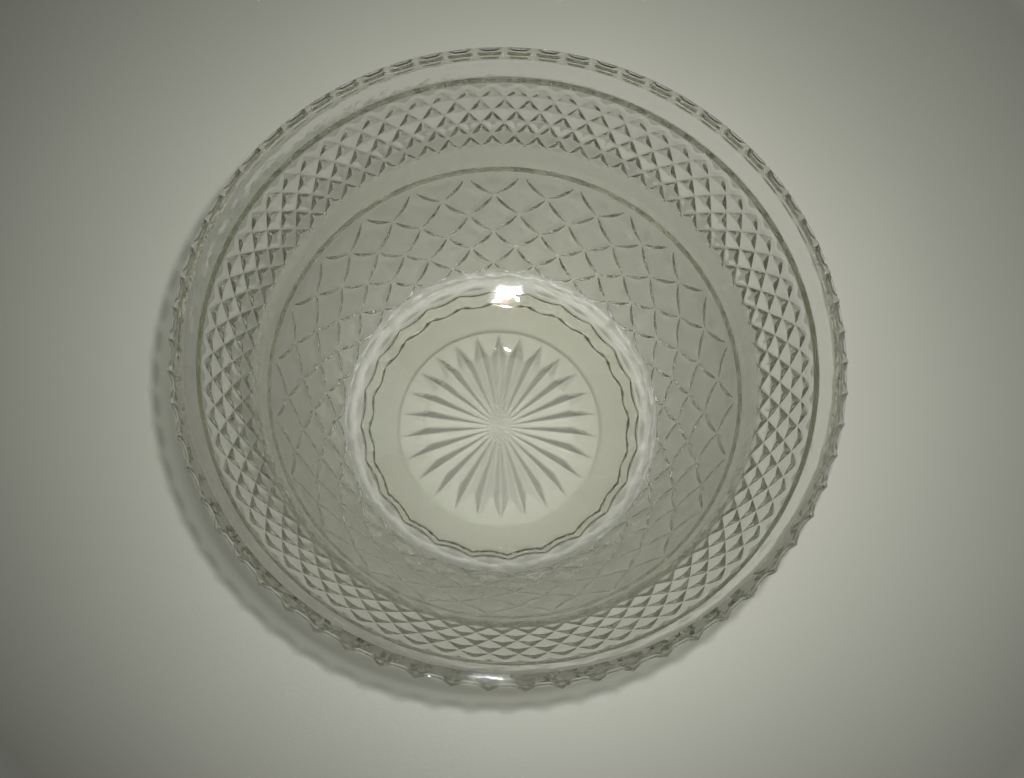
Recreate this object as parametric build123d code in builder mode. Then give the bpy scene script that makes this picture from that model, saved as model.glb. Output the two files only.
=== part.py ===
from build123d import *

import os
from math import atan2, ceil, copysign, cos, floor, radians, sin, tan

# Pressed-glass punch bowl, one piece of glass from the foot to the rim.
#
# Frame: millimetres, +Z up.  The origin is the middle of the face that the bowl
# stands on, and every repeated feature is spaced round Z.

# ---------------------------------------------------------------- driving dimensions
height = 165.0  # standing face to rim
rim_diameter = 305.0  # over the ridges of the rim
foot_diameter = 167.0  # over the ridges of the foot
wall = 6.0  # glass between the smooth inside and the plain outside

# Lip: thick and flaring, with flutes that die out towards the cove under it
lip_height = 6.4
lip_flare = 3.2  # how far the lip comes in from the rim down to the cove
inner_chamfer = 0.8
cove_height = 5.2
cove_depth = 4.2
rim_flutes = 64
rim_flute_phase = 4.2  # degrees from +X to a ridge
rim_flute_depth = 2.1
rim_ridge_width = 1.5

# Band of small diamonds: a ring of four-sided points between crossing V-grooves
band_top = 145.8
band_top_radius = 143.3
band_bottom = 113.0
band_bottom_radius = 128.2
point_columns = 68
point_phase = 1.5  # degrees from +X to where two grooves meet at the top edge
point_rows = 6  # rows of points, each half a point below the last
point_half_rows = 5.26  # half points from the top edge to the bottom edge
point_height = 2.3
groove_floor = 0.3  # glass between the plain wall and the bottoms of the grooves
band_root = 3.0  # how deep the ring of points is let into the wall
band_lap = 0.4  # how far it laps over the plain glass above and below

# Plain ring between the two diamond patterns, with a soft edge round it
ring_edge = 101.8
ring_edge_radius = 124.5
ring_bottom = 98.2
ring_bottom_radius = 123.9

# Field of large diamonds: leaf-shaped V-cuts between crossings, and a low cushion inside each four
field_middle = 55.0
field_middle_radius = 108.5
field_bottom = 24.0
field_bottom_radius = 94.8
diamond_columns = 24
diamond_phase = 3.9  # degrees from +X to a crossing of the top row
crossing_heights = (94.5, 81.0, 67.9, 55.0, 44.0, 32.2, 25.2)  # one per row, from the top
cut_depth = 2.4  # from the plain glass to the bottom of a leaf cut, at its middle
cut_width = 4.2  # across a leaf cut at its middle
cushion_height = 0.4  # how far the middle of a diamond stands out from its corners
field_stand = 0.35  # how far the crossings stand out from the plain glass round the field
field_recess = 3.2  # glass left out of the wall, which the ring of diamonds fills
field_root = 4.0  # how deep the ring of diamonds reaches into the wall
field_lap = 0.4  # how far it laps over the plain glass above and below

# Foot: a low drum with flutes all round
foot_height = 18.7
foot_flutes = 24
foot_flute_phase = 11.4
foot_flute_depth = 2.4
foot_ridge_width = 2.0

# Base: a dished floor inside, and a shallow recess with a star underneath
floor_thickness = 9.0
floor_flat_radius = 46.0
floor_corner_radius = 88.5
floor_corner_rise = 18.0
heel_rounding = 8.0
recess_radius = 64.0
recess_depth = 0.8
star_rays = 26
star_phase = 2.1
star_start = 0.5
star_radius = 59.4
star_widest = 45.0
star_depth = 3.0

# ---------------------------------------------------------------- worked-out values
rim_radius = rim_diameter / 2
foot_radius = foot_diameter / 2
lip_bottom = height - lip_height
lip_bottom_radius = rim_radius - lip_flare
cove_bottom = lip_bottom - cove_height
cove_bottom_radius = lip_bottom_radius - cove_depth
band_tilt = atan2(band_top_radius - band_bottom_radius, band_top - band_bottom)
inset = wall / cos(band_tilt)
lap_in = band_lap * tan(band_tilt)


def flute_cutter(ridge_radius, count, depth, ridge_width, low, high):
    """Upright cylinder that cuts the flute on +X, between two ridges."""
    half_chord = ridge_radius * sin(radians(180 / count)) - ridge_width / 2
    sagitta = depth - ridge_radius * (1 - cos(radians(180 / count)))
    radius = (half_chord**2 + sagitta**2) / (2 * sagitta)
    with BuildPart() as cutter:
        with BuildSketch(Plane.XY.offset(low)):
            with Locations((ridge_radius - depth + radius, 0)):
                Circle(radius)
        extrude(amount=high - low)
    return cutter.part


def pointed_cutter(plane, start, widest, finish, half_width, depth):
    """Wedge with four flat sides, cutting a pointed groove along the plane's x axis.

    The groove opens at start, is widest and deepest at widest, and closes at finish.
    """
    with BuildPart() as cutter:
        with BuildSketch(plane) as outline:
            with BuildLine():
                Polyline((start, 0), (widest, half_width), (finish, 0), (widest, -half_width), close=True)
            make_face()
        deepest = plane.from_local_coords(Vector(widest, 0, -depth))
        loft([outline.sketch.face(), Vertex(*deepest)], ruled=True)
    return cutter.part


def field_radius(z):
    """Radius of the plain wall at a height in the field of large diamonds."""
    if z > field_middle:
        share = (z - field_middle) / (ring_bottom - field_middle)
        return field_middle_radius + share * (ring_bottom_radius - field_middle_radius)
    share = (z - field_bottom) / (field_middle - field_bottom)
    return field_bottom_radius + share * (field_middle_radius - field_bottom_radius)


def field_point(row, column, out):
    """Point in the field, counted in rows of crossings down it and half columns round it.

    out is how far it stands out from the plain wall, measured level.
    """
    z = (crossing_heights[floor(row)] + crossing_heights[ceil(row)]) / 2
    angle = diamond_phase + column * 180 / diamond_columns
    return Vector(field_radius(z) + out, 0, z).rotate(Axis.Z, angle)


def leaf_side(row, column, hand, side):
    """Widest point of a leaf cut, on the side towards higher (1) or lower (-1) angles.

    The cut starts at a crossing and runs to the next row down, one half column further
    round for hand 1, and one back for hand -1.
    """
    start = field_point(row, column, field_stand)
    finish = field_point(row + 1, column + hand, field_stand)
    middle = (start + finish) * 0.5
    outward = field_point(row + 0.5, column + hand / 2, 1) - field_point(row + 0.5, column + hand / 2, 0)
    across = outward.cross(finish - start).normalized()
    level = Vector(0, 0, 1).cross(middle)
    return middle + across * (side * copysign(cut_width / 2, across.dot(level)))


def ring_of_diamonds():
    """Closed ring of cushions with leaf cuts between them, and a plain root behind."""
    facets = []
    last = len(crossing_heights) - 1
    for row in range(last):
        for column in range(row % 2, 2 * diamond_columns, 2):
            for hand in (1, -1):
                start = field_point(row, column, field_stand)
                finish = field_point(row + 1, column + hand, field_stand)
                bottom = field_point(row + 0.5, column + hand / 2, field_stand - cut_depth)
                left = leaf_side(row, column, hand, -1)
                right = leaf_side(row, column, hand, 1)
                facets += [(start, left, bottom), (left, finish, bottom)]
                facets += [(finish, right, bottom), (right, start, bottom)]
    for row in range(last + 1):
        for column in range((row + 1) % 2, 2 * diamond_columns, 2):
            at_edge = row in (0, last)
            middle = field_point(row, column, field_stand if at_edge else cushion_height + field_stand)
            left = field_point(row, column - 1, field_stand)
            right = field_point(row, column + 1, field_stand)
            if row > 0:
                top = field_point(row - 1, column, field_stand)
                before = leaf_side(row - 1, column, -1, 1)
                after = leaf_side(row - 1, column, 1, -1)
                corners = [left, before, top, after, right]
                facets += [(middle, first, second) for first, second in zip(corners, corners[1:])]
            if row < last:
                low = field_point(row + 1, column, field_stand)
                before = leaf_side(row, column - 1, 1, 1)
                after = leaf_side(row, column + 1, -1, -1)
                corners = [left, before, low, after, right]
                facets += [(middle, first, second) for first, second in zip(corners, corners[1:])]
    for column in range(2 * diamond_columns):
        top_root = [field_point(0, column + step, -field_root) for step in (0, 1)]
        low_root = [field_point(last, column + step, -field_root) for step in (0, 1)]
        facets.append((*[field_point(0, column + step, field_stand) for step in (1, 0)], *top_root))
        facets.append((*[field_point(last, column + step, field_stand) for step in (1, 0)], *low_root))
        facets.append((*top_root, low_root[1], low_root[0]))
    return Solid(Shell([Face(Wire.make_polygon(corners)) for corners in facets]))


def band_point(row, column, out):
    """Point on the band, counted in half points down from its top edge and round it.

    out is how far it stands out from the plain wall, square to the wall.
    """
    share = row / point_half_rows
    radius = band_top_radius + (band_bottom_radius - band_top_radius) * share
    z = band_top + (band_bottom - band_top) * share
    angle = point_phase + column * 180 / point_columns
    return Vector(radius + out * cos(band_tilt), 0, z - out * sin(band_tilt)).rotate(Axis.Z, angle)


def root_point(row, column):
    """Point on the root of the ring, level with the groove bottoms of the same row."""
    edge = band_point(row, column, groove_floor)
    return edge - Vector(edge.X, edge.Y, 0).normalized() * band_root


def ring_of_points():
    """Closed ring of four-sided points with grooves between them, and a plain root behind."""
    facets = []
    last = point_rows - 1
    for row in range(point_rows):
        for column in range(row % 2, 2 * point_columns, 2):
            left = band_point(row, column, groove_floor)
            right = band_point(row, column + 2, groove_floor)
            point = band_point(row, column + 1, point_height)
            if row > 0:
                above = band_point(row - 1, column + 1, groove_floor)
                facets += [(left, point, above), (above, point, right)]
            if row < last:
                below = band_point(row + 1, column + 1, groove_floor)
                facets += [(left, below, point), (below, right, point)]
    for column in range(0, 2 * point_columns, 2):
        left = band_point(0, column, groove_floor)
        right = band_point(0, column + 2, groove_floor)
        facets.append((left, band_point(0, column + 1, point_height), right))
        facets.append((left, right, root_point(0, column + 2), root_point(0, column)))
        low_root = root_point(point_half_rows, column + 1)
        facets.append((root_point(0, column), root_point(0, column + 2), low_root))
    for column in range(1, 2 * point_columns, 2):
        left = band_point(last, column, groove_floor)
        right = band_point(last, column + 2, groove_floor)
        point = band_point(last, column + 1, point_height)
        low_left = band_point(point_half_rows, column, groove_floor)
        low_right = band_point(point_half_rows, column + 2, groove_floor)
        root_left = root_point(point_half_rows, column)
        root_right = root_point(point_half_rows, column + 2)
        facets += [(left, low_left, point), (low_left, low_right, point), (low_right, right, point)]
        facets.append((low_left, root_left, root_right, low_right))
        facets.append((root_left, root_point(0, column + 1), root_right))
    return Solid(Shell([Face(Wire.make_polygon(corners)) for corners in facets]))


rim_flute = flute_cutter(rim_radius, rim_flutes, rim_flute_depth, rim_ridge_width, cove_bottom, height + 1)
foot_flute = flute_cutter(foot_radius, foot_flutes, foot_flute_depth, foot_ridge_width, -1, foot_height)
recess_ceiling = Plane((0, 0, recess_depth), x_dir=(1, 0, 0), z_dir=(0, 0, -1))
ray_half_width = star_widest * sin(radians(180 / star_rays))
ray = pointed_cutter(recess_ceiling, star_start, star_widest, star_radius, ray_half_width, star_depth)

points = ring_of_points()
diamonds = ring_of_diamonds()
recess_low = crossing_heights[-1] + field_lap
recess_high = crossing_heights[0] - field_lap


# ---------------------------------------------------------------- the bowl
with BuildPart() as bowl:
    # Half section of the blank: the outside from the foot up, then the inside down.
    with BuildSketch(Plane.XZ) as section:
        with BuildLine():
            Polyline(
                (0, 0),
                (foot_radius, 0),
                (foot_radius, foot_height),
                (field_bottom_radius, field_bottom),
                (field_radius(recess_low), recess_low),
                (field_radius(recess_low) - field_recess, recess_low),
                (field_middle_radius - field_recess, field_middle),
                (field_radius(recess_high) - field_recess, recess_high),
                (field_radius(recess_high), recess_high),
                (ring_bottom_radius, ring_bottom),
                (ring_edge_radius, ring_edge),
                (band_bottom_radius + lap_in, band_bottom + band_lap),
                (band_top_radius - lap_in, band_top - band_lap),
                (cove_bottom_radius, cove_bottom),
                (lip_bottom_radius, lip_bottom),
                (rim_radius, height),
                (rim_radius - wall, height),
                (band_bottom_radius - inset, band_bottom),
                (field_middle_radius - inset, field_middle),
                (floor_corner_radius, floor_thickness + floor_corner_rise),
                (floor_flat_radius, floor_thickness),
                (0, floor_thickness),
                close=True,
            )
        make_face()

        def corner(radius, z):
            """The corner of the section at this radius and height."""
            return section.vertices().sort_by_distance((radius, z, 0))[0]

        chamfer(corner(rim_radius - wall, height), inner_chamfer)
        fillet(corner(floor_corner_radius, floor_thickness + floor_corner_rise), heel_rounding)
    revolve(axis=Axis.Z)

    with PolarLocations(0, rim_flutes, start_angle=rim_flute_phase + 180 / rim_flutes):
        add(rim_flute, mode=Mode.SUBTRACT, clean=False)
    with PolarLocations(0, foot_flutes, start_angle=foot_flute_phase + 180 / foot_flutes):
        add(foot_flute, mode=Mode.SUBTRACT, clean=False)
    with BuildSketch():
        Circle(recess_radius)
    extrude(amount=recess_depth, mode=Mode.SUBTRACT, clean=False)
    with PolarLocations(0, star_rays, start_angle=star_phase):
        add(ray, mode=Mode.SUBTRACT, clean=False)
    add(points, clean=False)
    add(diamonds, clean=False)

bowl.part.label = "bowl"
os.makedirs("parts", exist_ok=True)
export_step(bowl.part, "parts/bowl.step")
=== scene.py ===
# %% [markdown]
# # A pressed-glass punch bowl
#
# The bowl is one piece of clear glass, pressed in a mould.  From the top down it
# has a fluted rim, a band of small diamonds, a field of large diamonds, a fluted
# foot, and a star under its floor.  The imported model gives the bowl's size and
# place.  This notebook builds the same bowl again as one finely divided mesh,
# because clear glass shows each cut twice: on its own surface, and bent through
# the far side of the wall.

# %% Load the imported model
from math import cos, pi, radians, sin, sqrt, tan

import bpy
import numpy as np
from mathutils import Matrix, Vector


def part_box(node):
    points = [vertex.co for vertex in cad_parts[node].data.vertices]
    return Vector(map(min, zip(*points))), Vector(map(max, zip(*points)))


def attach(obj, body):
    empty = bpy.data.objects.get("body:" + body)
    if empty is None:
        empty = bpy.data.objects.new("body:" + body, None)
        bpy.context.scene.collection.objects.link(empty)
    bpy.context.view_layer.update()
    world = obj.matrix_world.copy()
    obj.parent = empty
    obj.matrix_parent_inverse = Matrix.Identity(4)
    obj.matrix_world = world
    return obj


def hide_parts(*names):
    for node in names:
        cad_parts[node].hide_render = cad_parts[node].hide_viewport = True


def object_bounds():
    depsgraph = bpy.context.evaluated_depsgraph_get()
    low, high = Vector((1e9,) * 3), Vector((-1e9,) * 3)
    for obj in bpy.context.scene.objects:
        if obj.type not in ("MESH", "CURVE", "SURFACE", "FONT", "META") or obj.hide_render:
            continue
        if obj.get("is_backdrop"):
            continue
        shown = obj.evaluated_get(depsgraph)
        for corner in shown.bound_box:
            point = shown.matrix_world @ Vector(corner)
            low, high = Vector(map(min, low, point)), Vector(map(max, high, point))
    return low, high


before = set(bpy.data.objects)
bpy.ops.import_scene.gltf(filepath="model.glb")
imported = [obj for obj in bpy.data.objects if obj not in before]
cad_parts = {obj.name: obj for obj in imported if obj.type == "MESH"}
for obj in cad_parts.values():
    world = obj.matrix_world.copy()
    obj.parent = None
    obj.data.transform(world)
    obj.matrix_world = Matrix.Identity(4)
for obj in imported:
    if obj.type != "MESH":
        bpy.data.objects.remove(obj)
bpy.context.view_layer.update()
low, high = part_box("bowl")
mm_per_metre = 1000
rim_radius = (high.x - low.x) / 2 * mm_per_metre
height = (high.z - low.z) * mm_per_metre
print("packed bowl:", round(rim_radius * 2, 1), "mm across,", round(height, 1), "mm high")

# %% [markdown]
# Every ring of the bowl is a circle round Z, so one line, the section, says
# everything about the plain glass.  It runs from the middle of the underside,
# out under the foot, up the outside, over the rim and down the inside to the
# middle of the floor.  It could be a Bezier curve with a Screw modifier.  A
# plain list of corners is easier to measure from, and the patterns below need
# to know how far along the section each of them starts.  Millimetres keep the
# numbers readable.

# %% The section's corners
foot_radius = 83.5
foot_height = 18.7
recess_radius = 64.0
recess_depth = 0.8
floor_top = 9.0
field_bottom = 24.0
field_middle = 55.0
ring_bottom = 95.8
band_bottom = 113.0
band_top = 145.8
collar_radius = 149.5
collar_top = 159.4
section_corners = [  # radius, height above the table, rounding
    (0, recess_depth, 0),  # middle of the underside
    (recess_radius - 1.4, recess_depth, 2.0),  # slope at the edge of the recess
    (recess_radius + 1.4, 0, 2.0),
    (foot_radius - 2.0, 0, 1.6),  # flat ring that the bowl stands on
    (foot_radius - 0.4, foot_height, 1.5),  # foot drum, with draft to leave the mould
    (94.8, field_bottom, 3.0),  # heel
    (108.5, field_middle, 60.0),  # field of large diamonds
    (124.0, ring_bottom, 0.4),  # upright ledge under the plain ring
    (123.9, ring_bottom + 5.0, 0.5),
    (125.6, 104.4, 0.6),  # plain ring, which flares out
    (128.2, band_bottom, 1.0),  # band of small diamonds
    (145.1, band_top + 0.4, 0.4),  # upright ledge over the band
    (145.0, band_top + 5.2, 0.5),
    (collar_radius, collar_top, 0.5),  # plain collar
    (rim_radius, height - 2.6, 0.8),  # chamfer that the rim's flutes are cut in
    (rim_radius - 1.4, height, 0.5),
    (rim_radius - 7.2, height, 2.4),  # flat land on top, and its inner edge
    (122.4, band_bottom, 90.0),  # inside of the wall
    (101.9, field_middle, 150.0),
    (88.3, 26.7, 10.0),
    (46.0, floor_top + 0.3, 14.0),
    (0, floor_top, 0),  # middle of the floor
]
print("section:", len(section_corners), "corners")

# %% [markdown]
# Sharp corners look wrong on pressed glass, so each one has a rounding of its
# own.  A rounding is an arc that touches both lines of its corner, so its centre
# lies on the line that halves the corner.  Points at even distances then make
# the section easy to measure along.  At each of them the outward direction says
# which way a pattern stands out or is cut in.

# %% The rounded section
section_spacing = 0.1
arc_points = 24


def rounded_path(corners, spacing):
    """Even points along rounded corners, each as distance along the path, radius and height."""
    points = [np.array(corners[0][:2], float)]
    for before, here, after in zip(corners, corners[1:], corners[2:]):
        corner = np.array(here[:2], float)
        rounding = here[2]
        back = np.array(before[:2]) - corner
        back /= np.linalg.norm(back)
        onward = np.array(after[:2]) - corner
        onward /= np.linalg.norm(onward)
        halving = (back + onward) / np.linalg.norm(back + onward)
        half_corner = np.arccos(np.clip(back @ onward, -1, 1)) / 2
        centre = corner + halving * rounding / sin(half_corner)
        first = corner + back * rounding / tan(half_corner) - centre
        last = corner + onward * rounding / tan(half_corner) - centre
        turn = pi - 2 * half_corner
        for share in np.linspace(0, 1, arc_points):
            arc = (sin((1 - share) * turn) * first + sin(share * turn) * last) / sin(turn)
            points.append(centre + arc)
    points.append(np.array(corners[-1][:2], float))
    points = np.array(points)
    steps = np.linalg.norm(np.diff(points, axis=0), axis=1)
    length = np.concatenate([[0], np.cumsum(steps)])
    even = np.arange(0, length[-1], spacing)
    radius = np.interp(even, length, points[:, 0])
    z = np.interp(even, length, points[:, 1])
    return np.column_stack([even, radius, z])


section = rounded_path(section_corners, section_spacing)
heading = np.gradient(section[:, 1:], axis=0)
heading /= np.linalg.norm(heading, axis=1)[:, None]
outward = np.column_stack([heading[:, 1], -heading[:, 0]])


def distance_to(radius, z):
    """How far along the section its nearest point to this radius and height lies."""
    return section[np.argmin(np.hypot(section[:, 1] - radius, section[:, 2] - z)), 0]


print("section:", len(section), "points,", round(section[-1, 0]), "mm long")

# %% [markdown]
# A cut is a depth that changes over the surface.  Each pattern below is a
# function of the angle round the bowl and the distance along the section.  It
# gives how far the glass stands out from the plain section, in millimetres, and
# is below zero where glass is cut away.  Booleans could cut the same shapes, but
# they leave long thin faces that show as streaks in clear glass.  Soft steps
# stand for the rounding that hot glass keeps where the mould has a sharp edge.

# %% Helpers that the patterns share
def soft_floor(value, rounding):
    """value where it is above zero, else zero, with a rounded change between them."""
    return (value + np.sqrt(value**2 + rounding**2)) / 2


def soft_lower(first, second, rounding):
    """The lower of two heights, with a rounded ridge where they are equal."""
    return (first + second - np.sqrt((first - second) ** 2 + rounding**2)) / 2


def ramp(value, start, finish):
    """0 at start, 1 at finish, and smooth between."""
    share = np.clip((value - start) / (finish - start), 0, 1)
    return share * share * (3 - 2 * share)


def cell_offset(angle, count, phase):
    """Place across the cells of a repeated pattern: -1 and 1 at the ridges, 0 midway between."""
    turns = (np.degrees(angle) - phase) * count / 360
    return 2 * (turns % 1) - 1


print("soft_floor at an edge with 0.2 mm of rounding:", soft_floor(0.0, 0.2), "mm")

# %% [markdown]
# The rim is scalloped by 64 shallow flutes, cut in the chamfer outside its flat
# land.  Each flute has a flat middle and straight flanks, so a narrow ridge
# stands between two of them.  A round hollow would be simpler to write, but its
# wide soft ridges look like beads.  The flutes are deepest at the top, where
# they scallop the outline of the bowl.

# %% Rim flutes
rim_flutes = 64
rim_flute_phase = 4.2
rim_flute_depth = 2.7
rim_flute_low_depth = 1.7
rim_flute_flat = 0.42
rim_flute_flank = 0.56
rim_crease_rounding = 0.08
rim_ridge_rounding = 0.12
rim_top = distance_to(rim_radius - 1.6, height - 0.1)
rim_low = distance_to(collar_radius, collar_top)


def rim_relief(angle, distance):
    """Flutes of the rim, which die out on the collar below and on the land above."""
    across = np.abs(cell_offset(angle, rim_flutes, rim_flute_phase))
    lowness = np.clip((rim_top - distance) / (rim_top - rim_low), 0, 1)
    depth = rim_flute_depth + (rim_flute_low_depth - rim_flute_depth) * lowness
    flank = soft_floor(across - rim_flute_flat, rim_crease_rounding) / rim_flute_flank
    below = ramp(distance, rim_low - 0.6, rim_low + 1.2)
    above = 1 - ramp(distance, rim_top, rim_top + 0.4)
    return -depth * soft_floor(1 - flank, rim_ridge_rounding) * below * above


print("rim flutes:", rim_flutes, "over", round(rim_top - rim_low, 1), "mm of the section")

# %% [markdown]
# Below the collar runs a band of small four-sided points.  Two sets of V-grooves
# wind down the band in opposite directions, and each point is what they leave
# standing.  Copies of one small pyramid would have to be bent to fit a band that
# tapers.  Taking the nearer groove of the two sets gives the same points, and
# they fit any band.

# %% Band of small diamonds
point_columns = 68
point_phase = 1.5
point_half_rows = 5.26
point_height = 2.3
point_rounding = 0.06
point_fullness = 1.3
band_low_fade = 3.0
band_high_fade = 5.0
band_start = distance_to(128.2, band_bottom)
band_finish = distance_to(144.9, band_top)


def band_relief(angle, distance):
    """Points of the band: half of their height stands out, and half is cut in."""
    column = (np.degrees(angle) - point_phase) * point_columns / 360
    row = (band_finish - distance) / (band_finish - band_start) * point_half_rows
    falling = 1 - np.abs(2 * ((column + row / 2) % 1) - 1)
    rising = 1 - np.abs(2 * ((column - row / 2) % 1) - 1)
    rise = soft_floor(soft_lower(falling, rising, point_rounding), point_rounding)
    stands = 1 - (1 - np.clip(rise, 0, 1)) ** point_fullness - 0.5
    below = ramp(distance, band_start - 0.6, band_start + band_low_fade)
    above = 1 - ramp(distance, band_finish - band_high_fade, band_finish + 0.4)
    return point_height * stands * below * above


print("band:", point_columns, "columns of points over", round(band_finish - band_start, 1), "mm")

# %% [markdown]
# The large diamonds are what is left between leaf-shaped cuts.  A wheel with a V
# edge cuts each leaf from one crossing to the next, so a leaf is deepest and
# widest in its middle and comes to a point at both ends.  Each row of leaves has
# a rising and a falling one in turn, and the crossings climb the wall in rows
# that get taller as the wall gets wider.

# %% Rows of the large diamonds
diamond_columns = 24
diamond_phase = 3.9
crossing_heights = (94.5, 81.0, 67.9, 55.0, 44.0, 32.2, 25.2)
leaf_depth = 1.6
leaf_half_angle = radians(60)
leaf_rounding = 0.2
leaf_reach = 1.15
top_leaf_shift = 0.06
field_start = distance_to(92.0, 22.8)
field_finish = distance_to(122.0, 94.6)
outside = section[(section[:, 0] > field_start) & (section[:, 0] < field_finish)]
crossings = [float(np.interp(z, outside[:, 2], outside[:, 0])) for z in crossing_heights]
print("rows of leaves:", len(crossings) - 1, "up to", crossing_heights[0], "mm above the table")

# %% [markdown]
# One leaf is measured along and across its own line, from -1 to 1 between its
# two ends.  Its valley falls away from both ends as a parabola, and the V edge
# of the wheel lifts the cut again on each side.  Where leaves meet, the deeper
# of them wins, as it does when one cut follows another.

# %% Field of large diamonds
def leaf_relief(angle, distance):
    """Leaf-shaped cuts in rows, which leave the large diamonds standing."""
    depth = np.zeros_like(distance)
    for row, (top, bottom) in enumerate(zip(crossings, crossings[1:])):
        middle = (top + bottom) / 2
        step = np.interp(middle, outside[:, 0], outside[:, 1]) * pi / diamond_columns
        fall = top - bottom
        length = sqrt(step**2 + fall**2)
        down = middle - distance
        for hand in (1, -1):
            turns = (np.degrees(angle) - diamond_phase) * diamond_columns / 360
            turns = turns - row % 2 / 2 - hand / 4
            sideways = ((turns + 0.5) % 1 - 0.5) * 2 * step
            along = (sideways * hand * step + down * fall) / length
            across = (sideways * hand * fall - down * step) / length
            run = 2 * along / length
            if row == 0:
                run = (run - top_leaf_shift) / (1 - top_leaf_shift)
            valley = leaf_depth * (1 - run**2)
            cut = soft_floor(valley - np.abs(across) / tan(leaf_half_angle), leaf_rounding)
            depth = np.maximum(depth, cut * (np.abs(run) < leaf_reach))
    return -depth


print("field:", diamond_columns, "columns,", leaf_depth, "mm deep in the middle of a leaf")

# %% [markdown]
# The foot is a low drum with 24 wide flutes.  Each is a shallow round hollow, and
# a parabola is close enough to a circle at this depth.  The flutes fade out under
# the foot and above it, where the heel turns outwards.

# %% Foot flutes
foot_flutes = 24
foot_flute_phase = 11.4
foot_flute_depth = 2.4
foot_flute_curve = 1.15
foot_edge_rounding = 0.3
foot_fade = 4.0
foot_start = distance_to(foot_radius - 2.0, 0)
foot_finish = distance_to(foot_radius - 0.4, foot_height)


def foot_relief(angle, distance):
    """Round flutes of the foot drum."""
    across = cell_offset(angle, foot_flutes, foot_flute_phase)
    hollow = foot_flute_depth * (1 - foot_flute_curve * across**2)
    below = ramp(distance, foot_start - foot_fade, foot_start)
    above = 1 - ramp(distance, foot_finish, foot_finish + foot_fade)
    return -soft_floor(hollow, foot_edge_rounding) * below * above


print("foot:", foot_flutes, "flutes over", round(foot_finish - foot_start, 1), "mm")

# %% [markdown]
# The recess under the foot holds a star of 26 rays.  A V-edged wheel that sinks
# as it moves outwards makes each ray wider and deeper, until the rays meet side
# by side.  From there it rises again, so every ray runs out to a point.  Under
# the middle of the bowl, the distance along the section is the radius, so the
# star needs no other measure.

# %% Star
star_rays = 26
star_phase = 2.1
star_radius = 61.5
star_widest = 45.0
star_depth = 2.7
star_valley = 0.008
star_point = 0.75
star_edge_rounding = 0.04


def star_relief(angle, distance):
    """Depth of the ray at each point: its V is widest at star_widest and closes at both ends."""
    offset = cell_offset(angle, star_rays, star_phase + 180 / star_rays)
    across = np.sqrt(offset**2 + star_valley) * distance / star_widest
    opening = distance / star_widest
    closing = (np.clip(star_radius - distance, 0, None) / (star_radius - star_widest)) ** star_point
    share = np.where(distance < star_widest, opening, closing)
    opened = soft_floor(np.clip(share, 0, 1) - across, star_edge_rounding)
    return -star_depth * opened * (share > 0)


print("star:", star_rays, "rays,", star_radius, "mm long")

# %% [markdown]
# Each stretch of the section becomes a grid of its own, with as many columns as
# its pattern needs.  A Displace modifier could move the points of a plain
# surface, but here the grid can also choose its triangles.  Each cell is split
# along the diagonal that lies nearer to the real surface in the middle of the
# cell, so ridges stay clean where they cross the grid at a slant.

# %% A grid over one stretch
def ring_grid(start, finish, spacing, columns, phase, relief):
    """Grid of points over one stretch of the section, its triangles, and its columns' angles."""
    rows = max(2, round((finish - start) / spacing) + 1)
    fine_distances = np.linspace(start, finish, 2 * rows - 1)
    fine_angles = radians(phase) + np.arange(2 * columns) * pi / columns
    angle, distance = np.meshgrid(fine_angles, fine_distances)
    stands = relief(angle, distance) if relief else np.zeros_like(angle)
    middles = stands[1::2, 1::2]
    stands = stands[::2, ::2]
    beside = np.roll(stands, -1, axis=1)
    first_miss = np.abs(middles - (stands[:-1] + beside[1:]) / 2)
    second_miss = np.abs(middles - (stands[1:] + beside[:-1]) / 2)
    first_diagonal = (first_miss <= second_miss)[..., None]

    angles = fine_angles[::2]
    plain = np.column_stack([section[:, 1:], outward])
    plain = [np.interp(fine_distances[::2], section[:, 0], values)[:, None] for values in plain.T]
    radius = (plain[0] + plain[2] * stands) / mm_per_metre
    z = (plain[1] + plain[3] * stands) / mm_per_metre
    points = np.stack([radius * np.cos(angles), radius * np.sin(angles), z], axis=-1)

    index = np.arange(rows * columns).reshape(rows, columns)
    next_index = np.roll(index, -1, axis=1)
    # The four corners of each cell, in order round it.
    a, b, c, d = index[:-1], next_index[:-1], next_index[1:], index[1:]
    first = np.where(first_diagonal, np.stack([a, b, c], -1), np.stack([a, b, d], -1))
    second = np.where(first_diagonal, np.stack([a, c, d], -1), np.stack([b, c, d], -1))
    triangles = np.concatenate([first.reshape(-1, 3), second.reshape(-1, 3)])
    return points.reshape(-1, 3), triangles, angles


print("plain grid of 3 rows and 8 columns:", len(ring_grid(0.8, 2.8, 1.0, 8, 0, None)[1]), "triangles")

# %% [markdown]
# Where two grids meet, a strip of triangles joins the last ring of one to the
# first ring of the next, though their points don't match.  Two hands walk round
# the bowl, one on each ring.  The hand whose next point comes first takes the
# step, and each step makes one triangle with the point under the other hand.

# %% A strip between two rings
def ring_walk(ring, angles):
    """A ring's points in order round the bowl and back to the first, and each next point's angle."""
    turns = angles % (2 * pi)
    order = np.argsort(turns)
    turns = turns[order]
    walk = ring[np.append(order, order[0])]
    return walk, np.concatenate([turns[1:], [2 * pi + turns[0], np.inf]])


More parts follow.
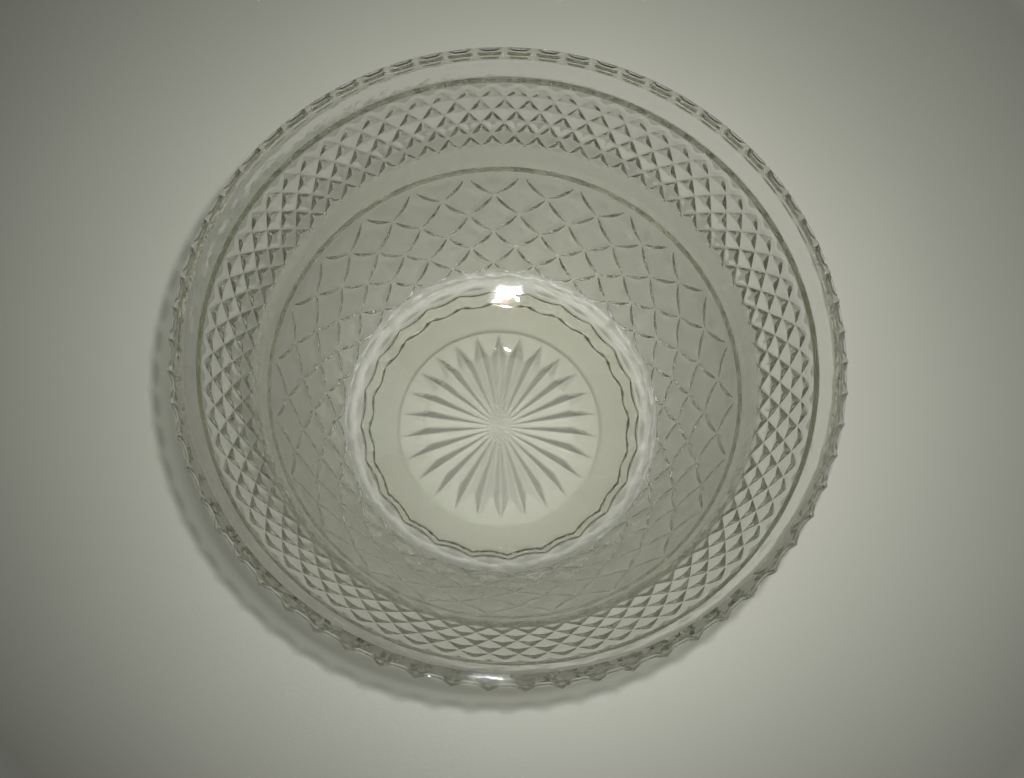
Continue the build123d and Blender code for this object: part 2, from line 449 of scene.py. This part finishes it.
def joining_strip(lower, lower_angles, upper, upper_angles):
    """Triangles between two rings of points that have different counts."""
    low_walk, low_next = ring_walk(lower, lower_angles)
    high_walk, high_next = ring_walk(upper, upper_angles)
    low_steps = 0
    high_steps = 0
    triangles = []
    while low_steps < len(lower) or high_steps < len(upper):
        on_low, on_high = low_walk[low_steps], high_walk[high_steps]
        if low_next[low_steps] <= high_next[high_steps]:
            low_steps += 1
            triangles.append((on_low, low_walk[low_steps], on_high))
        else:
            high_steps += 1
            triangles.append((on_low, high_walk[high_steps], on_high))
    return np.array(triangles)


quarter_turns = np.arange(4) * pi / 2
test_strip = joining_strip(np.arange(4), quarter_turns, np.arange(4, 8), quarter_turns)
print("strip between two rings of 4 points:", len(test_strip), "triangles")

# %% [markdown]
# The stretches follow each other along the section, from the underside to the
# floor.  The patterned ones are divided finely, with two or three points to a
# millimetre, because clear glass shows a coarse facet at once.  The smooth
# inside needs only enough rings to look round.

# %% Stretches of the section
coarser = 1
ring_foot = distance_to(124.6, 100.3)
ring_top = distance_to(124.7, 100.6)
collar_foot = distance_to(145.0, 149.4)
collar_start = distance_to(145.0, 149.8)
land_finish = distance_to(rim_radius - 5.3, height - 0.1)
inside_start = distance_to(rim_radius - 5.7, height - 0.2)
foot_grid_start = recess_radius - 2.6
foot_grid_finish = distance_to(91.6, 22.6)
section_end = section[-1, 0]
stretches = [  # name, start, finish, spacing of rings, columns, phase, pattern
    ("star", 0.8, recess_radius - 3.0, 0.6, star_rays * 28, star_phase, star_relief),
    ("foot", foot_grid_start, foot_grid_finish, 0.5, foot_flutes * 32, foot_flute_phase, foot_relief),
    ("field", field_start, ring_foot, 0.42, diamond_columns * 48, diamond_phase, leaf_relief),
    ("band", ring_top, collar_foot, 0.35, point_columns * 20, point_phase, band_relief),
    ("rim", collar_start, land_finish, 0.3, rim_flutes * 20, rim_flute_phase, rim_relief),
    ("inside", inside_start, section_end - 1.0, 1.6, 360, 0, None),
]
points = []
triangles = []
total = 0
rings = []
for name, start, finish, spacing, columns, phase, relief in stretches:
    columns //= coarser
    corners, faces, angles = ring_grid(start, finish, spacing, columns, phase, relief)
    first_ring = np.arange(columns) + total
    if rings:
        triangles.append(joining_strip(*rings[-1], first_ring, angles))
    triangles.append(faces + total)
    points.append(corners)
    total += len(corners)
    last_ring = np.arange(columns) + total - columns
    rings += [(first_ring, angles), (last_ring, angles)]
    print(name, len(faces), "triangles")

# %% [markdown]
# The first and the last ring are each closed by a fan of triangles round one
# point on the axis.  The underside faces down and the floor faces up, so the
# first ring is walked backwards.

# %% Closing the middle
fans = ((rings[0][0][::-1], recess_depth), (rings[-1][0], floor_top))
for ring, z in fans:
    hub = np.full(len(ring), total)
    triangles.append(np.stack([ring, np.roll(ring, -1), hub], axis=-1))
    points.append(np.array([[0, 0, z / mm_per_metre]]))
    total += 1
points = np.concatenate(points)
triangles = np.concatenate(triangles)
print("closed surface:", len(points), "points,", len(triangles), "triangles")

# %% [markdown]
# A million triangles are slow to add one by one, so the arrays go into the mesh
# whole, with foreach_set.  Smooth shading rounds the light over the facets, and
# edges of more than 30 degrees stay sharp, as the bottoms of the cuts are.  The
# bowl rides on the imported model's one body and stands for its one node.

# %% The bowl's mesh
sharp_edge = radians(30)
mesh = bpy.data.meshes.new("punch_bowl")
mesh.vertices.add(len(points))
mesh.vertices.foreach_set("co", points.astype(np.float32).ravel())
mesh.loops.add(len(triangles) * 3)
mesh.loops.foreach_set("vertex_index", triangles.astype(np.int32).ravel())
mesh.polygons.add(len(triangles))
mesh.polygons.foreach_set("loop_start", np.arange(0, len(triangles) * 3, 3, dtype=np.int32))
mesh.update(calc_edges=True)
mesh.validate()
mesh.shade_smooth()
mesh.set_sharp_from_angle(angle=sharp_edge)
bowl = bpy.data.objects.new("punch_bowl", mesh)
bpy.context.scene.collection.objects.link(bowl)
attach(bowl, "root")
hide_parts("bowl")
print("bowl mesh:", len(mesh.vertices), "points,", len(mesh.polygons), "triangles")

# %% [markdown]
# A material is a small network of nodes.  Three helpers keep the cells below
# short: one makes a material, one adds a node and fills its inputs, and one does
# a sum.  An input takes either a value or the output of another node, which is
# then linked to it.

# %% Helpers for materials
def new_material(name):
    """A material, its node tree, and the Principled shader in it."""
    material = bpy.data.materials.new(name)
    material.use_nodes = True
    return material, material.node_tree, material.node_tree.nodes["Principled BSDF"]


def fill_inputs(node, inputs):
    """Link each input to another node's output, or set it to a number or a colour."""
    for name, value in inputs.items():
        if isinstance(value, bpy.types.NodeSocket):
            node.id_data.links.new(value, node.inputs[name])
        else:
            node.inputs[name].default_value = value


def add_node(tree, kind, inputs, **settings):
    """A new node of this kind, with its settings made before its inputs are filled."""
    node = tree.nodes.new("ShaderNode" + kind)
    for name, value in settings.items():
        setattr(node, name, value)
    fill_inputs(node, inputs)
    return node


def work_out(tree, operation, first, second):
    """The output of one Math node."""
    return add_node(tree, "Math", {0: first, 1: second}, operation=operation).outputs["Value"]


def vector_work(tree, operation, inputs, output="Vector"):
    """The output of one Vector Math node."""
    return add_node(tree, "VectorMath", inputs, operation=operation).outputs[output]


glass, glass_tree, glass_shader = new_material("pressed_glass")
print("new material:", glass.name)

# %% [markdown]
# Pressed glass is clear and fully smooth, because its skin cools from hot glass
# and is never ground.  It bends light by 1.5.  The mould leaves its surface a
# little wavy, and noise through a Bump node gives that without moving a point.
# Thick glass is faintly green-grey, and Volume Absorption shows it: the further
# light travels inside the wall, the more of it is lost.

# %% Glass
glass_place = add_node(glass_tree, "TexCoord", {}).outputs["Object"]
waves = add_node(glass_tree, "TexNoise", {"Vector": glass_place, "Scale": 140, "Detail": 3})
mould_skin = add_node(
    glass_tree, "Bump", {"Height": waves.outputs["Fac"], "Strength": 0.5, "Distance": 0.0005}
)
fill_inputs(
    glass_shader,
    {
        "Base Color": (0.985, 0.985, 0.975, 1),
        "Transmission Weight": 1,
        "Roughness": 0.0,
        "IOR": 1.5,
        "Normal": mould_skin.outputs["Normal"],
    },
)
depth_tint = add_node(
    glass_tree, "VolumeAbsorption", {"Color": (0.64, 0.65, 0.55, 1), "Density": 17}
)
glass_output = glass_tree.nodes["Material Output"]
fill_inputs(glass_output, {"Volume": depth_tint.outputs["Volume"]})
print("glass nodes:", len(glass_tree.nodes))

# %% [markdown]
# A renderer that follows light backwards, from the eye to the lamps, hardly ever
# finds a lamp through bent glass, so the bowl would throw a black shadow.  The
# usual cure is a Transparent shader for the rays that only ask whether a lamp can
# be reached.  Its colour says how much light gets through.  Layer Weight makes
# that less where the surface is slanted, so each cut draws a fine dark line on
# the table.

# %% Light through the wall
slant = add_node(glass_tree, "LayerWeight", {"Blend": 0.35}).outputs["Facing"]
wall_shade = add_node(
    glass_tree,
    "Mix",
    {"Factor": slant, "A": (0.93, 0.93, 0.92, 1), "B": (0.28, 0.28, 0.27, 1)},
    data_type="RGBA",
)
ray = add_node(glass_tree, "LightPath", {}).outputs
lamp_ray = work_out(glass_tree, "MAXIMUM", ray["Is Shadow Ray"], ray["Is Diffuse Ray"])
print("glass nodes:", len(glass_tree.nodes))

# %% [markdown]
# The star needs a shade of its own.  Two position tests find it: inside the
# recess, and near the underside.  A second Layer Weight with a high blend picks
# out even gentle slopes, so the sides of the rays come out dark on the table
# under them.  The thick disc of glass gathers light, so it lets a little more
# through than the wall does.

# %% Light through the star
star_disc_radius = 0.0645
underside_top = 0.006
axes = add_node(glass_tree, "SeparateXYZ", {"Vector": glass_place}).outputs
from_axis = add_node(glass_tree, "CombineXYZ", {"X": axes["X"], "Y": axes["Y"]}).outputs["Vector"]
ring_radius = vector_work(glass_tree, "LENGTH", {0: from_axis}, "Value")
in_disc = work_out(glass_tree, "LESS_THAN", ring_radius, star_disc_radius)
near_table = work_out(glass_tree, "LESS_THAN", axes["Z"], underside_top)
in_star = work_out(glass_tree, "MULTIPLY", in_disc, near_table)
slope = add_node(glass_tree, "LayerWeight", {"Blend": 0.84}).outputs["Facing"]
star_shade = add_node(
    glass_tree,
    "Mix",
    {
        "Factor": work_out(glass_tree, "MULTIPLY", slope, in_star),
        "A": wall_shade.outputs["Result"],
        "B": (0.0, 0.0, 0.0, 1),
    },
    data_type="RGBA",
)
gathering = add_node(glass_tree, "MapRange", {"Value": in_star, "To Min": 0.94, "To Max": 1.12})
passing_light = vector_work(
    glass_tree, "SCALE", {0: star_shade.outputs["Result"], "Scale": gathering.outputs["Result"]}
)
see_through = add_node(glass_tree, "BsdfTransparent", {"Color": passing_light})
print("star disc:", star_disc_radius * mm_per_metre, "mm in radius,", len(glass_tree.nodes), "nodes")

# %% [markdown]
# A whitish haze lies in a band round the heel.  Two things make it: a Color Ramp
# over the radius says how strong the haze is, and noise breaks it up.  The ramp
# runs from 0 to 1, so the radius goes in as decimetres, and 0.936 is 93.6 mm
# from the axis.

# %% Strength of the haze
haze_profile = ((0.835, 0), (0.865, 0.22), (0.918, 0.24), (0.936, 0.95), (0.948, 0.2), (0.96, 0))
haze_top = 0.032
decimetres_per_metre = 10
ramp_place = work_out(glass_tree, "MULTIPLY", ring_radius, decimetres_per_metre)
haze_ramp = add_node(glass_tree, "ValToRGB", {"Fac": ramp_place})
for radius, haziness in haze_profile:
    stop = haze_ramp.color_ramp.elements.new(radius)
    stop.color = (haziness, haziness, haziness, 1)
haze_ramp.color_ramp.elements[-1].color = (0, 0, 0, 1)
print("wear:", len(haze_profile), "stops from", haze_profile[0][0], "to", haze_profile[-1][0], "dm")

# %% [markdown]
# The haze runs round the bowl in streaks.  The noise is read at a place made
# of the direction from the axis, which changes slowly, and of the radius, which
# changes fast, so its specks are drawn out into streaks about 7 mm long and
# 1 mm wide.  Where the mask is on, a little plain Diffuse lies over the glass.

# %% Streaks of the haze
streak_turn = 0.016
direction = vector_work(glass_tree, "NORMALIZE", {0: from_axis})
around = vector_work(glass_tree, "SCALE", {0: direction, "Scale": streak_turn})
outwards = add_node(glass_tree, "CombineXYZ", {"Z": ring_radius}).outputs["Vector"]
streak_place = vector_work(glass_tree, "ADD", {0: around, 1: outwards})
streaks = add_node(glass_tree, "TexNoise", {"Vector": streak_place, "Scale": 800, "Detail": 4})
streak_share = add_node(
    glass_tree,
    "MapRange",
    {"Value": streaks.outputs["Fac"], "From Min": 0.4, "From Max": 0.7, "To Min": 0.0, "To Max": 0.6},
)
streaked_haze = work_out(glass_tree, "MULTIPLY", haze_ramp.outputs["Color"], streak_share.outputs["Result"])
low_down = work_out(glass_tree, "LESS_THAN", axes["Z"], haze_top)
# Mask of the whitish haze in its band round the heel, below haze_top.
heel_haze = work_out(glass_tree, "MULTIPLY", streaked_haze, low_down)
haze = add_node(glass_tree, "BsdfDiffuse", {"Color": (0.9, 0.91, 0.88, 1)})
print("wear lies below", haze_top * mm_per_metre, "mm")

# %% [markdown]
# Two Mix Shader nodes put the parts together.  The first lays the haze over the
# glass where the mask is on.  The second sends the rays that look for a lamp to
# the see-through shader, and all the others to the real glass.

# %% The finished glass
hazed_glass = add_node(
    glass_tree,
    "MixShader",
    {"Fac": heel_haze, 1: glass_shader.outputs["BSDF"], 2: haze.outputs["BSDF"]},
)
finished_glass = add_node(
    glass_tree,
    "MixShader",
    {"Fac": lamp_ray, 1: hazed_glass.outputs["Shader"], 2: see_through.outputs["BSDF"]},
)
fill_inputs(glass_output, {"Surface": finished_glass.outputs["Shader"]})
mesh.materials.append(glass)
print("glass:", len(glass_tree.nodes), "nodes on", bowl.name)

# %% [markdown]
# The table is one large square, a hair under the foot so that the two surfaces
# never fight.  Its cover is plain and pale with a faint mottle, which noise
# mixes from two close colours, and a fine tooth that a Bump node gives.

# %% Table
floor_reach = 4
floor_drop = 0.0003
floor_corners = [
    (x * floor_reach, y * floor_reach, -floor_drop) for x, y in ((-1, -1), (1, -1), (1, 1), (-1, 1))
]
floor_mesh = bpy.data.meshes.new("floor")
floor_mesh.from_pydata(floor_corners, [], [(0, 1, 2, 3)])
floor = bpy.data.objects.new("floor", floor_mesh)
bpy.context.scene.collection.objects.link(floor)
floor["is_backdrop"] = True
cover, cover_tree, cover_shader = new_material("pale_table")
cover_place = add_node(cover_tree, "TexCoord", {}).outputs["Object"]
mottle = add_node(cover_tree, "TexNoise", {"Vector": cover_place, "Scale": 5, "Detail": 8})
cover_colour = add_node(
    cover_tree,
    "Mix",
    {"Factor": mottle.outputs["Fac"], "A": (0.375, 0.38, 0.315, 1), "B": (0.425, 0.43, 0.365, 1)},
    data_type="RGBA",
)
grain = add_node(cover_tree, "TexNoise", {"Vector": cover_place, "Scale": 450, "Detail": 4})
tooth = add_node(
    cover_tree, "Bump", {"Height": grain.outputs["Fac"], "Strength": 0.25, "Distance": 0.0003}
)
fill_inputs(
    cover_shader,
    {
        "Base Color": cover_colour.outputs["Result"],
        "Roughness": 0.6,
        "Normal": tooth.outputs["Normal"],
    },
)
floor_mesh.materials.append(cover)
print("table:", 2 * floor_reach, "m across")

# %% [markdown]
# The lamp lights only a circle of the table.  Beyond it the table would be black
# from the side, and more light would wash out the bowl.  So the far table glows
# faintly, but only for the rays that look at it: straight from the camera, off a
# glossy surface, or through glass.  No light from it falls on the bowl.

# %% Pale surround
def seen_rays(tree):
    """1 for rays that show the background: from the camera, off gloss or through glass."""
    ray = add_node(tree, "LightPath", {}).outputs
    direct = work_out(tree, "MAXIMUM", ray["Is Camera Ray"], ray["Is Glossy Ray"])
    return work_out(tree, "MAXIMUM", direct, ray["Is Transmission Ray"])


lit_circle_centre = (0, 0.12, 0)
glow_start = 0.415
glow_full = 0.60
glow_strength = 0.36
away = vector_work(cover_tree, "DISTANCE", {0: cover_place, 1: lit_circle_centre}, "Value")
glow = add_node(
    cover_tree,
    "MapRange",
    {"Value": away, "From Min": glow_start, "From Max": glow_full, "To Max": glow_strength},
)
seen_glow = work_out(cover_tree, "MULTIPLY", glow.outputs["Result"], seen_rays(cover_tree))
fill_inputs(cover_shader, {"Emission Color": (0.98, 1.0, 0.93, 1), "Emission Strength": seen_glow})
print("glow starts", glow_start, "m from the middle of the lit circle")

# %% [markdown]
# The world is the room round the table.  For the light that it gives, it is
# almost dark, so the lamp sets the mood.  For the rays that see it, it is a pale
# backdrop that darkens upwards.  Both are Color Ramps over the height of the
# direction, and Light Path chooses between them.

# %% World
def height_ramp(tree, height_socket, stops):
    """A colour for each height of the view direction, from two stops of position and colour."""
    node = add_node(tree, "ValToRGB", {"Fac": height_socket})
    for element, (position, colour) in zip(node.color_ramp.elements, stops):
        element.position = position
        element.color = (*colour, 1)
    return node.outputs["Color"]


world = bpy.data.worlds.new("studio")
world.use_nodes = True
bpy.context.scene.world = world
room_tree = world.node_tree
room_place = add_node(room_tree, "TexCoord", {}).outputs["Generated"]
room_height = add_node(room_tree, "SeparateXYZ", {"Vector": room_place}).outputs["Z"]
room_light = height_ramp(room_tree, room_height, ((0.0, (0.07, 0.07, 0.065)), (0.6, (0.06, 0.06, 0.06))))
backdrop = height_ramp(room_tree, room_height, ((0.12, (0.42, 0.425, 0.40)), (0.5, (0.06, 0.06, 0.06))))
room_colour = add_node(
    room_tree,
    "Mix",
    {"Factor": seen_rays(room_tree), "A": room_light, "B": backdrop},
    data_type="RGBA",
)
fill_inputs(room_tree.nodes["Background"], {"Color": room_colour.outputs["Result"], "Strength": 1.0})
print("world:", len(room_tree.nodes), "nodes")

# %% [markdown]
# The camera looks down into the bowl from close by and is turned a little about
# its own line of sight.  Its place is measured from the middle of the rim, in
# radii of the rim between its scallops.  A Track To constraint could aim it but
# not turn it, so the camera's three directions are worked out and put in its
# matrix.

# %% Camera
scallop_radius = 0.1504
camera_elevation = radians(69.10)
camera_roll = radians(8.608)
camera_distance = 2.761
aim_right = 0.019
aim_up = -0.165
rim_centre = Vector((0, 0, 0.165))
towards_camera = Vector((0, -cos(camera_elevation), sin(camera_elevation)))
right = Vector((1, 0, 0))
up = towards_camera.cross(right)
camera_place = rim_centre + towards_camera * camera_distance * scallop_radius
camera_target = rim_centre + (right * aim_right + up * aim_up) * scallop_radius
backward = (camera_place - camera_target).normalized()
level_right = up.cross(backward).normalized()
level_up = backward.cross(level_right)
camera_right = cos(camera_roll) * level_right + sin(camera_roll) * level_up
camera_up = -sin(camera_roll) * level_right + cos(camera_roll) * level_up
turned = Matrix((camera_right, camera_up, backward)).transposed().to_4x4()
camera_data = bpy.data.cameras.new("camera")
camera_data.lens = 32.7
camera_data.sensor_width = 36
camera = bpy.data.objects.new("camera", camera_data)
camera.matrix_world = Matrix.Translation(camera_place) @ turned
bpy.context.scene.collection.objects.link(camera)
bpy.context.scene.camera = camera
print("camera:", round((camera_place - rim_centre).length, 3), "m from the middle of the rim")

# %% [markdown]
# Cut glass comes alive under one small light, because a small light gives small
# bright glints and thin dark lines.  The key lamp is a disc as wide as a coin,
# just above and beside the camera, and its narrow spread lets the table darken
# towards the edge.  The fill is large, weak and off to one side, and keeps the
# shadow of the bowl pale.

# %% Lamps
def area_lamp(name, place, target, size, power, spread):
    """A round area lamp at a place, turned to its target.  Its spread is in degrees."""
    data = bpy.data.lights.new(name, "AREA")
    data.shape = "DISK"
    data.size = size
    data.energy = power
    data.spread = radians(spread)
    lamp = bpy.data.objects.new(name, data)
    lamp.location = place
    lamp.rotation_euler = (Vector(target) - Vector(place)).to_track_quat("-Z", "Y").to_euler()
    bpy.context.scene.collection.objects.link(lamp)


key_place = camera_place + camera_right * 0.025 + camera_up * 0.03
area_lamp("key", key_place, (0.022, 0.122, 0), size=0.014, power=1.42, spread=92)
area_lamp("fill", (0.9, 0.5, 1.3), (0, 0, 0), size=0.8, power=0.9, spread=180)
print("lamps:", ", ".join(light.name for light in bpy.data.lights))

# %% [markdown]
# Standard shows colours as they are written.  Light that crosses a glass bowl
# meets two walls with two faces each, and bounces about inside the cuts, so the
# usual number of bounces would turn the thick parts black.

# %% View and bounces
bpy.context.scene.view_settings.view_transform = "Standard"
bpy.context.scene.cycles.max_bounces = 32
bpy.context.scene.cycles.glossy_bounces = 24
bpy.context.scene.cycles.transmission_bounces = 24
print("bounces:", bpy.context.scene.cycles.max_bounces)

# %% [markdown]
# The finished bowl's box is measured, and its width across is printed.

# %% Finish
visual_low, visual_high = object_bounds()
print("finished bowl:", round((visual_high[0] - visual_low[0]) * mm_per_metre, 1), "mm across")
